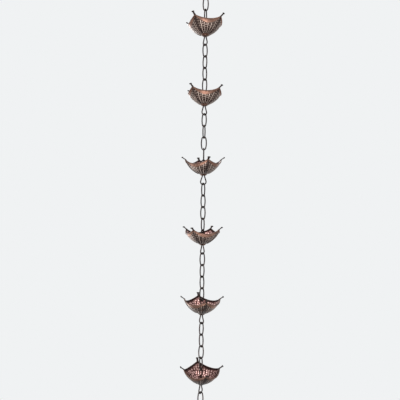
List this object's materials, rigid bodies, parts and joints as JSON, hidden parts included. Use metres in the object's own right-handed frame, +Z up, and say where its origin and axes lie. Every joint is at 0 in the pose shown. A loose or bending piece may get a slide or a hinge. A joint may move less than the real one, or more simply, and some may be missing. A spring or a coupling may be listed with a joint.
{
  "type": "rain chain",
  "caption": "Hanging rain chain of pointed, dished copper cups joined by wire links, which leads rainwater down from a gutter.",
  "frame": {"origin": "inner top of the hook's upper bend, where the chain is hung", "axes": "+Z up along the chain's line, +X across the front view, -Y towards the viewer"},
  "size_m": [0.1457, 0.1477, 1.3715],
  "materials": {
    "cup_copper": "satin",
    "chain_wire": "satin"
  },
  "bodies": {
    "hook": {"hanger_hook": "chain_wire"},
    "top_link_1": {"top_link_1": "chain_wire"},
    "top_link_2": {"top_link_2": "chain_wire"},
    "cup_unit_1": {"cup_1": "cup_copper", "cup_link_1": "chain_wire"},
    "span_1_link_1": {"span_1_link_1": "chain_wire"},
    "span_1_link_2": {"span_1_link_2": "chain_wire"},
    "span_1_link_3": {"span_1_link_3": "chain_wire"},
    "span_1_link_4": {"span_1_link_4": "chain_wire"},
    "cup_unit_2": {"cup_2": "cup_copper", "cup_link_2": "chain_wire"},
    "span_2_link_1": {"span_2_link_1": "chain_wire"},
    "span_2_link_2": {"span_2_link_2": "chain_wire"},
    "span_2_link_3": {"span_2_link_3": "chain_wire"},
    "span_2_link_4": {"span_2_link_4": "chain_wire"},
    "cup_unit_3": {"cup_3": "cup_copper", "cup_link_3": "chain_wire"},
    "span_3_link_1": {"span_3_link_1": "chain_wire"},
    "span_3_link_2": {"span_3_link_2": "chain_wire"},
    "span_3_link_3": {"span_3_link_3": "chain_wire"},
    "span_3_link_4": {"span_3_link_4": "chain_wire"},
    "cup_unit_4": {"cup_4": "cup_copper", "cup_link_4": "chain_wire"},
    "span_4_link_1": {"span_4_link_1": "chain_wire"},
    "span_4_link_2": {"span_4_link_2": "chain_wire"},
    "span_4_link_3": {"span_4_link_3": "chain_wire"},
    "span_4_link_4": {"span_4_link_4": "chain_wire"},
    "cup_unit_5": {"cup_5": "cup_copper", "cup_link_5": "chain_wire"},
    "span_5_link_1": {"span_5_link_1": "chain_wire"},
    "span_5_link_2": {"span_5_link_2": "chain_wire"},
    "span_5_link_3": {"span_5_link_3": "chain_wire"},
    "span_5_link_4": {"span_5_link_4": "chain_wire"},
    "cup_unit_6": {"cup_6": "cup_copper", "cup_link_6": "chain_wire"},
    "end_link": {"end_link": "chain_wire"}
  },
  "joints": [
    {"name": "top_link_1_swing", "type": "hinge", "parent": "hook", "child": "top_link_1", "pos_m": [0, 0, -0.046], "axis": [0, 1, 0], "range_deg": [-75, 75]},
    {"name": "top_link_2_swing", "type": "hinge", "parent": "top_link_1", "child": "top_link_2", "pos_m": [0, 0, -0.0837], "axis": [-0.9986, 0.0523, 0], "range_deg": [-75, 75]},
    {"name": "cup_unit_1_swing", "type": "hinge", "parent": "top_link_2", "child": "cup_unit_1", "pos_m": [0, 0, -0.1214], "axis": [-0.4067, -0.9135, 0], "range_deg": [-60, 60]},
    {"name": "span_1_link_1_swing", "type": "hinge", "parent": "cup_unit_1", "child": "span_1_link_1", "pos_m": [0, 0, -0.1968], "axis": [0.6947, -0.7193, 0], "range_deg": [-75, 75]},
    {"name": "span_1_link_2_swing", "type": "hinge", "parent": "span_1_link_1", "child": "span_1_link_2", "pos_m": [0, 0, -0.2345], "axis": [0.8387, 0.5446, 0], "range_deg": [-75, 75]},
    {"name": "span_1_link_3_swing", "type": "hinge", "parent": "span_1_link_2", "child": "span_1_link_3", "pos_m": [0, 0, -0.2722], "axis": [-0.7314, 0.682, 0], "range_deg": [-75, 75]},
    {"name": "span_1_link_4_swing", "type": "hinge", "parent": "span_1_link_3", "child": "span_1_link_4", "pos_m": [0, 0, -0.3099], "axis": [-0.7314, -0.682, 0], "range_deg": [-75, 75]},
    {"name": "cup_unit_2_swing", "type": "hinge", "parent": "span_1_link_4", "child": "cup_unit_2", "pos_m": [0, 0, -0.3476], "axis": [0.829, -0.5592, 0], "range_deg": [-60, 60]},
    {"name": "span_2_link_1_swing", "type": "hinge", "parent": "cup_unit_2", "child": "span_2_link_1", "pos_m": [0, 0, -0.423], "axis": [0.829, 0.5592, 0], "range_deg": [-75, 75]},
    {"name": "span_2_link_2_swing", "type": "hinge", "parent": "span_2_link_1", "child": "span_2_link_2", "pos_m": [0, 0, -0.4607], "axis": [-0.8192, 0.5736, 0], "range_deg": [-75, 75]},
    {"name": "span_2_link_3_swing", "type": "hinge", "parent": "span_2_link_2", "child": "span_2_link_3", "pos_m": [0, 0, -0.4984], "axis": [-0.4226, -0.9063, 0], "range_deg": [-75, 75]},
    {"name": "span_2_link_4_swing", "type": "hinge", "parent": "span_2_link_3", "child": "span_2_link_4", "pos_m": [0, 0, -0.5361], "axis": [0.9744, -0.225, 0], "range_deg": [-75, 75]},
    {"name": "cup_unit_3_swing", "type": "hinge", "parent": "span_2_link_4", "child": "cup_unit_3", "pos_m": [0, 0, -0.5738], "axis": [0.0349, 0.9994, 0], "range_deg": [-60, 60]},
    {"name": "span_3_link_1_swing", "type": "hinge", "parent": "cup_unit_3", "child": "span_3_link_1", "pos_m": [0, 0, -0.6492], "axis": [-0.9848, 0.1736, 0], "range_deg": [-75, 75]},
    {"name": "span_3_link_2_swing", "type": "hinge", "parent": "span_3_link_1", "child": "span_3_link_2", "pos_m": [0, 0, -0.6869], "axis": [-0.6157, -0.788, 0], "range_deg": [-75, 75]},
    {"name": "span_3_link_3_swing", "type": "hinge", "parent": "span_3_link_2", "child": "span_3_link_3", "pos_m": [0, 0, -0.7246], "axis": [0.788, -0.6157, 0], "range_deg": [-75, 75]},
    {"name": "span_3_link_4_swing", "type": "hinge", "parent": "span_3_link_3", "child": "span_3_link_4", "pos_m": [0, 0, -0.7623], "axis": [0.8572, 0.515, 0], "range_deg": [-75, 75]},
    {"name": "cup_unit_4_swing", "type": "hinge", "parent": "span_3_link_4", "child": "cup_unit_4", "pos_m": [0, 0, -0.8], "axis": [-0.5446, 0.8387, 0], "range_deg": [-60, 60]},
    {"name": "span_4_link_1_swing", "type": "hinge", "parent": "cup_unit_4", "child": "span_4_link_1", "pos_m": [0, 0, -0.8754], "axis": [-0.6428, -0.766, 0], "range_deg": [-75, 75]},
    {"name": "span_4_link_2_swing", "type": "hinge", "parent": "span_4_link_1", "child": "span_4_link_2", "pos_m": [0, 0, -0.9131], "axis": [0.8746, -0.4848, 0], "range_deg": [-75, 75]},
    {"name": "span_4_link_3_swing", "type": "hinge", "parent": "span_4_link_2", "child": "span_4_link_3", "pos_m": [0, 0, -0.9508], "axis": [0.766, 0.6428, 0], "range_deg": [-75, 75]},
    {"name": "span_4_link_4_swing", "type": "hinge", "parent": "span_4_link_3", "child": "span_4_link_4", "pos_m": [0, 0, -0.9885], "axis": [-0.7314, 0.682, 0], "range_deg": [-75, 75]},
    {"name": "cup_unit_5_swing", "type": "hinge", "parent": "span_4_link_4", "child": "cup_unit_5", "pos_m": [0, 0, -1.0262], "axis": [-0.7771, -0.6293, 0], "range_deg": [-60, 60]},
    {"name": "span_5_link_1_swing", "type": "hinge", "parent": "cup_unit_5", "child": "span_5_link_1", "pos_m": [0, 0, -1.1016], "axis": [0.7071, -0.7071, 0], "range_deg": [-75, 75]},
    {"name": "span_5_link_2_swing", "type": "hinge", "parent": "span_5_link_1", "child": "span_5_link_2", "pos_m": [0, 0, -1.1393], "axis": [0.7314, 0.682, 0], "range_deg": [-75, 75]},
    {"name": "span_5_link_3_swing", "type": "hinge", "parent": "span_5_link_2", "child": "span_5_link_3", "pos_m": [0, 0, -1.177], "axis": [-0.7314, 0.682, 0], "range_deg": [-75, 75]},
    {"name": "span_5_link_4_swing", "type": "hinge", "parent": "span_5_link_3", "child": "span_5_link_4", "pos_m": [0, 0, -1.2147], "axis": [-0.8988, -0.4384, 0], "range_deg": [-75, 75]},
    {"name": "cup_unit_6_swing", "type": "hinge", "parent": "span_5_link_4", "child": "cup_unit_6", "pos_m": [0, 0, -1.2524], "axis": [0.5299, -0.848, 0], "range_deg": [-60, 60]},
    {"name": "end_link_swing", "type": "hinge", "parent": "cup_unit_6", "child": "end_link", "pos_m": [0, 0, -1.3278], "axis": [0.5878, 0.809, 0], "range_deg": [-75, 75]}
  ]
}
